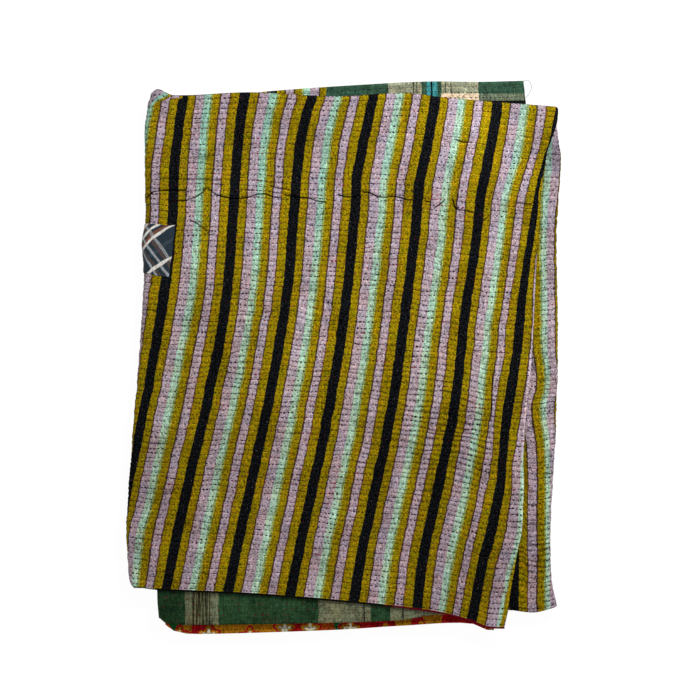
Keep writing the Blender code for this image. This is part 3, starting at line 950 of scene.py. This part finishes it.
def finish_of(face, along, around):
    """Which finish a face of the skin has."""
    rounds = [v[around] for v in face.verts]
    at = sum(v[along] for v in face.verts) / len(face.verts)
    # The faces from the ring's last stop to its first belong to its last part.
    closing = max(rounds) - min(rounds) > PARTS / 2
    middle = PARTS - 0.1 if closing else sum(rounds) / len(rounds)
    closed_end = at < 0.0001 or at > LEGS - 0.0001
    if closed_end or middle < OUTSIDE:
        in_strip = STRIP[0] < at < STRIP[1] and 1 < middle < 2 + 1 / BLOCKS
        return PIECED if in_strip and not closed_end else STRIPED
    return CHECKED if middle < CHECK_ENDS else PRINTED


def painted_light_and_shade(spot, along, around, x, y):
    """How much darker or paler than the rest each place of the cloth is, as a factor: its painted
    light and shade.
    """
    under = (spot.number == 1) & (spot.turn > HALFWAY)  # what shows of the second panel, darker towards its top right
    shade = 1 - 0.13 * under * smooth_step((y - 0.02) / 0.06) * smooth_step((x - 0.08) / 0.08)
    for change in blots(LIGHT_AND_SHADE_SPOTS, x, y):
        shade *= 1 + change
    # The lower half of the free edge has a painted highlight, a pale rim beaded by its stitches.
    rim = (around <= 1) * smooth_step((0.0068 - along) / 0.003) * smooth_step((0.06 - y) / 0.04)
    shade *= 1 + rim * (0.45 + 0.25 * np.sin(y * 1150))
    # Painted shadows in the second panel's hollows.
    for at, level, across, down in np.array(PAINTED_SHADOWS) / 1000:
        shade *= 1 - 0.75 * under * np.exp(-((x - at) / across) ** 2 - ((y - level) / down) ** 2)
    return shade


def build_quilt(finishes):
    """The whole cloth, laid in its folds, with the marks that its finishes read."""
    bm = drawn_skin()
    along, around = (bm.verts.layers.float[name] for name in ("along", "around"))
    a = np.array([v[along] for v in bm.verts])
    r = np.array([v[around] for v in bm.verts])
    marks = woven(a, r)
    x, y, _ = place(a, r).T
    spot = spots(a, r)
    fine = (r <= 3) & (((a <= 2) & (r <= 1)) | ((a >= 2.93) & (a <= 4) & (r >= 2))
                       | ((a >= 4.95) & (a <= 6.05) & (r <= 1)))
    lift, creased, beside = np.zeros_like(x), np.zeros_like(x), np.full_like(x, FAR)
    shown = 1 - smooth_step((a - 5.9) * 10)  # the underside lies flat
    lift[fine] = quilting(marks["flat_x"][fine], y[fine], marks["row"][fine]) * shown[fine]
    top = (a <= 1.5) & (r <= 1)
    height, beside[top], dark = pressed(x[top], y[top])
    fade = (1 + np.cos(spot.fold[top])) / 2
    lift[top] += height * fade
    creased[top] = dark * fade
    at = place(a, r, lift) + SHIFT
    at[:, 2] = np.maximum(at[:, 2], 0)  # nothing goes below the floor
    for face in bm.faces:
        face.material_index = finish_of(face, along, around)
    mesh = laid("quilt_cloth", bm, at)
    drawn = np.where(fine & (a < 4.001), 0.0, 1.0)  # where no stitches are modelled
    hem = (((r > 7) | (r < 0.0001)) & (a < 1.6)) * smooth_step((x + 0.237) / 0.004)
    marks.update(creased=creased, beside=beside * 1000, drawn=drawn, hem=hem,
                 shade=painted_light_and_shade(spot, a, r, x, y), ridged=ridged(x, y))
    set_marks(mesh, marks)
    for name in ("along", "around"):
        mesh.attributes.remove(mesh.attributes[name])
    return to_object("quilt_cloth", mesh, *finishes)


def on_upper(x, v):
    """How far along the upper panel, or round its left fold, a place x on the flat cloth is."""
    u = np.full_like(x, 0.5)
    for _ in range(4):
        _, y = lie(0, np.clip(u, 0, 1), np.zeros_like(u), v)
        left, right = sides(0, y, 0.0)
        u = (x - left) / (right - left)
    return np.where(u >= 0, 1 - u, 1 + (left - x) / HALF_TURN), y


def lifted(along, around):
    """How far its quilting and creases lift a place on an outer face."""
    bare = place(along, around)
    marks = woven(along, around)
    lift = quilting(marks["flat_x"], bare[:, 1], marks["row"])
    top = (along <= 1.5) & (around <= 1)
    height, _, _ = pressed(bare[:, 0], bare[:, 1])
    spot = spots(along, around)
    lift += np.where(top, height * (1 + np.cos(spot.fold)) / 2, 0)
    return lift


FIRST_STITCH, LAST_STITCH = -0.285, 0.272  # how far a row's stitches reach on the flat cloth
UNEVEN = 0.3  # how far a stitch may lie off its place, as a share of STITCH
MISSED = 0.13  # the share of stitches that don't show
BESIDE, BESIDE_STITCHES = 2.945, 11  # where the second panel's stitches begin, and how many a row
BEAD_LONG, BEAD_WIDE, BEAD_HIGH = 0.00122, 0.00100, 0.00034
BEAD_OUT = 0.00006  # how far a bead's middle stands off the cloth


def stitch_places():
    """Where the running stitches lie on the faces that show, as along and around."""
    chance = np.random.default_rng(41)
    first, last = math.floor(FIRST_STITCH / STITCH), math.ceil(LAST_STITCH / STITCH)
    found = []
    for k in range(ROWS):
        v = (k + 0.5) / ROWS
        shifted = (k * k * STEP) % 1
        columns = np.arange(first, last) + 0.5 - shifted
        columns = columns + chance.uniform(-UNEVEN, UNEVEN, len(columns))
        x = columns * STITCH
        along, _ = on_upper(x, np.full_like(x, v))
        keep = (along > 0.004) & (along < 1.62) & (chance.random(len(x)) > MISSED)
        found += [(a, 1 - v) for a in along[keep]]
        uneven = chance.uniform(-UNEVEN, UNEVEN, BESIDE_STITCHES)
        along = BESIDE + (np.arange(BESIDE_STITCHES) + uneven + shifted) * STITCH / PANEL
        bend = along > 3
        along[bend] = 3 + (along[bend] - 3) * PANEL / HALF_TURN
        keep = (along < 3.6) & (chance.random(BESIDE_STITCHES) > MISSED)
        found += [(a, 2 + v) for a in along[keep]]
    return np.array(found)


def unit(vectors):
    return vectors / np.linalg.norm(vectors, axis=1)[:, None]


def stitch_frames(along, around, lift):
    """Where stitches lie, with their directions along the row, across it and off the cloth."""
    step, aside, off = 0.0008, 0.0015, 0.001  # how far to look along, round and off the cloth
    scale = np.where((along % 2) < 1, PANEL, HALF_TURN)
    ahead, back = (np.clip(along + way * step / scale, 0, LEGS) for way in (1, -1))
    left, right = (np.clip(around + way * aside, 0, 3) for way in (1, -1))
    here = place(along, around, lift)
    forward = unit(place(ahead, around, lift) - place(back, around, lift))
    up = unit(np.cross(forward, place(along, left, lift) - place(along, right, lift)))
    raised = place(along, around, lift + off) - here
    up *= np.sign((up * raised).sum(1))[:, None]
    return here, forward, np.cross(up, forward), up


def stitch_looks(stripe, x, y, chance):
    """Each stitch's tint, and what its stripe does to its length and width."""
    n = len(x)  # the shares below are of a stripe's width, as in its print
    black = (stripe < 0.078) | (stripe > 0.922)
    olive = ~black & ((stripe < 0.21) | ((stripe > 0.49) & (stripe < 0.63)) | (stripe > 0.79))
    mint = (stripe > 0.365) & (stripe < 0.49)
    tint = np.where(chance.random(n) < np.where(mint, 0.8, 0.4), chance.uniform(*PLUM_DARK, n),
                    chance.uniform(*PLUM, n))
    tint = np.where(olive, chance.uniform(*RUSTY, n), tint)
    reds = np.where(patchy(x, y, 0.030, 0.026, 9.1) > 0.16, 0.38, 0.04) * np.where(olive, 0.4, 1)
    tint = np.where(~black & (chance.random(n) < reds), RED_TINT, tint)
    bright = chance.random(n) < 0.25
    tint = np.where(black, np.where(bright, chance.choice((GREY_TINT, 0.73), n), 0.05), tint)
    size = np.where(olive, 0.75, 1)
    return tint, np.where(black, 0.4, size), np.where(black, 0.42, size)


def build_stitches(finish):
    """Every stitch that shows, as one mesh of small stretched beads sunk in the seams."""
    along, around = stitch_places().T
    here, forward, across, up = stitch_frames(along, around, lifted(along, around))
    x, y, _ = here.T
    n = len(along)
    chance = np.random.default_rng(7)
    tint, longer, wider = stitch_looks(woven(along, around)["stripe"] % 1, x, y, chance)
    strong = np.clip(1.0 + 1.0 * patchy(x, y, 0.050, 0.034, 3.9), 0.55, 1.35)
    strong *= (1 + 0.35 * np.clip(ridged(x, y), -1, 0)) * np.where(around > 1, 0.82, 1)
    long = BEAD_LONG * strong * chance.uniform(0.65, 1.3, n) * longer
    wide = BEAD_WIDE * strong * chance.uniform(0.7, 1.25, n) * wider
    tilt = chance.normal(0, 0.35, n)[:, None]
    along_row = forward * np.cos(tilt) + across * np.sin(tilt)
    cross = np.cross(up, along_row)

    bead = bmesh.new()
    bmesh.ops.create_icosphere(bead, subdivisions=1, radius=1)
    ball = np.array([v.co for v in bead.verts])
    faces = np.array([[v.index for v in f.verts] for f in bead.faces])
    bead.free()
    centre = here + SHIFT + up * BEAD_OUT
    co = (centre[:, None, :]
          + along_row[:, None, :] * (ball[None, :, 0, None] * long[:, None, None])
          + cross[:, None, :] * (ball[None, :, 1, None] * wide[:, None, None])
          + up[:, None, :] * (ball[None, :, 2, None] * BEAD_HIGH))
    index = faces[None] + (np.arange(n) * len(ball))[:, None, None]
    mesh = bpy.data.meshes.new("running_stitches")
    mesh.from_pydata(co.reshape(-1, 3), [], index.reshape(-1, 3))
    set_marks(mesh, {"tint": np.repeat(tint, len(ball))})
    return to_object("running_stitches", mesh, finish)


# The patch, from its right edge on the upper face to its end round the fold.
PATCH_RIGHT = line((170, -211.5), (148, -213), (114, -217.8), (104, -218.2))
PATCH_TOP = (0.1695, 0.1665)  # at its left and right end
PATCH_FOOT = (0.1065, 0.1010)
PATCH_WIDE, PATCH_TALL = 0.045, 0.06  # about its size, to tell how far a place is from its rim
PATCH_ROUND = 0.0145  # how much of it goes round the fold
PATCH_CORNER = 0.004  # how far from its corner it is cut back
RIM_ROUND = 0.0011  # the width over which its turned edge rises
PATCH_CLEAR, PATCH_THICK = 0.00034, 0.00072  # its underside above the cloth, and its own thickness
SEAM_IN, SEAM_WIDE, SEAM_DEEP = 0.0016, 0.0006, 0.00022  # the seam just inside its rim


def build_patch(finish):
    """The patch follows the quilt's upper face and goes round its left fold, its edges turned in."""
    bm = bmesh.new()
    bmesh.ops.create_grid(bm, x_segments=34, y_segments=44, size=0.5)
    bmesh.ops.solidify(bm, geom=bm.faces[:], thickness=1.0)
    co = np.array([v.co for v in bm.verts])
    co[:, 2] -= co[:, 2].min()
    # a runs from the patch's right edge to its end round the fold, b from its foot to its top,
    # both with their stops closer towards the rim.
    a, b, over = co[:, 0] + 0.5, co[:, 1] + 0.5, co[:, 2] > 0.5
    a, b = (t - 0.8 * np.sin(2 * math.pi * t) / (2 * math.pi) for t in (a, b))
    rim = np.minimum(np.minimum(a, 1 - a) * PATCH_WIDE, np.minimum(b, 1 - b) * PATCH_TALL)
    right_y = PATCH_FOOT[1] + (PATCH_TOP[1] - PATCH_FOOT[1]) * b
    right_x = follow(PATCH_RIGHT, right_y)
    y = right_y + ((PATCH_FOOT[0] - PATCH_FOOT[1]) * (1 - b) + (PATCH_TOP[0] - PATCH_TOP[1]) * b) * a
    corner = np.clip(PATCH_CORNER - np.hypot(a * PATCH_WIDE, b * PATCH_TALL), 0, 1)
    left = follow(LEFT_FOLD, y) + OUTER
    x = right_x - (right_x - left + PATCH_ROUND) * a - corner * 0.4
    _, hem = ends(0, np.maximum(x, left), np.zeros_like(x))
    start = follow(ROW_TOP, np.maximum(x, left)) - TIP
    v = (y - start) / (hem - start)
    along, _ = on_upper(x, v)
    round_in = np.sqrt(1 - (1 - np.clip(rim / RIM_ROUND, 0, 1)) ** 2)
    seam = np.exp(-((rim - SEAM_IN) / SEAM_WIDE) ** 2)
    lift = 0.6 * quilting(x, y, v * ROWS) + 0.00012 * patchy(x, y, 0.007, 0.009, 3.3) + PATCH_CLEAR
    lift += np.where(over, PATCH_THICK * round_in, 0)
    lift -= np.where(over, SEAM_DEEP * seam, 0)
    mesh = laid("patch_cloth", bm, place(along, 1 - v, lift) + SHIFT)
    set_marks(mesh, {"flat_x": x, "flat_y": y})
    return to_object("patch_cloth", mesh, finish)


def tube(name, points, radius, finish, tint):
    """A thread: a small round drawn along a smooth line."""
    curve = bpy.data.curves.new(name, "CURVE")
    curve.dimensions = "3D"
    curve.bevel_depth, curve.bevel_resolution, curve.resolution_u = radius, 2, 6
    curve.use_fill_caps = True
    run = curve.splines.new("NURBS")
    run.points.add(len(points) - 1)
    for knot, co in zip(run.points, points):
        knot.co = (*co, 1)
    run.use_endpoint_u, run.order_u = True, 4
    drawn = bpy.data.objects.new(name, curve)
    bpy.context.scene.collection.objects.link(drawn)
    view = bpy.context.evaluated_depsgraph_get()
    mesh = bpy.data.meshes.new_from_object(drawn.evaluated_get(view))
    mesh.name = name
    bpy.data.objects.remove(drawn)
    mesh.materials.clear()
    set_marks(mesh, {"tint": np.full(len(mesh.vertices), tint)})
    return to_object(name, mesh, finish)


def build_loose_thread(finish):
    """A pale thread that has worked loose at the top right corner, in one low loop."""
    points = ((0.2240, 0.3450, 0.0215), (0.2262, 0.3470, 0.0222), (0.2300, 0.3474, 0.0214),
              (0.2334, 0.3435, 0.0200), (0.2347, 0.3390, 0.0190), (0.2338, 0.3345, 0.0186),
              (0.2318, 0.3305, 0.0190), (0.2295, 0.3272, 0.0200), (0.2272, 0.3250, 0.0212))
    shifted = [tuple(np.array(p) + SHIFT) for p in points]
    return tube("loose_thread", shifted, 0.00032, finish, PALE_TINT)


# ---------------------------------------------------------------- studio


LENS, SENSOR = 200, 36
VIEW_AT = (0.00806, 0.00896)  # the point that the camera looks down on
VIEW_WIDTH, VIEW_LEVEL = 0.875, 0.028  # how much it takes in, and at what height


def studio():
    """A window's soft light from beyond the top right, on a white floor, seen from above."""
    scene = bpy.context.scene
    scene.view_settings.view_transform = "Standard"
    world = bpy.data.worlds.new("studio")
    world.use_nodes = True
    sky = world.node_tree.nodes["Background"].inputs
    sky["Color"].default_value, sky["Strength"].default_value = (1, 1, 1, 1), 0.34
    scene.world = world

    window = bpy.data.lights.new("window", "AREA")
    window.shape, window.size, window.energy = "SQUARE", 0.55, 16.0
    lamp = bpy.data.objects.new("window", window)
    lamp.location = (0.455, 0.865, 0.975)
    lamp.rotation_mode = "QUATERNION"
    lamp.rotation_quaternion = (-lamp.location).to_track_quat("-Z", "Y")
    scene.collection.objects.link(lamp)

    bm = bmesh.new()
    bmesh.ops.create_grid(bm, x_segments=1, y_segments=1, size=25.0)
    mesh = to_mesh("floor", bm)
    pale = Finish("floor_white", roughness=1.0, Specular_IOR_Level=0.0,
                  Base_Color=(0.12, 0.12, 0.12, 1), Emission_Color=(1, 1, 1, 1),
                  Emission_Strength=0.95)
    floor = to_object("floor", mesh, pale.material)

    lens = bpy.data.cameras.new("camera")
    lens.lens, lens.sensor_width = LENS, SENSOR
    lens.clip_start, lens.clip_end = 0.1, 20
    camera = bpy.data.objects.new("camera", lens)
    camera.location = (*VIEW_AT, VIEW_LEVEL + VIEW_WIDTH * LENS / SENSOR)
    scene.collection.objects.link(camera)
    scene.camera = camera


def main():
    studio()
    quilt = build_quilt([quilted("striped_cotton", stripes),
                         quilted("checked_cotton", reverse_check, 0.3, HEM_RED, 0.8),
                         quilted("printed_cotton", flower_print, 0.4),
                         quilted("pieced_check", strip_check, 0.5)])
    thread = thread_finish()
    stitches = build_stitches(thread)
    patch = build_patch(patch_check())
    loose = build_loose_thread(thread)
    for piece in (quilt, stitches, patch, loose):
        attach(piece, "root")
    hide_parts("quilt")
    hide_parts("patch")


main()
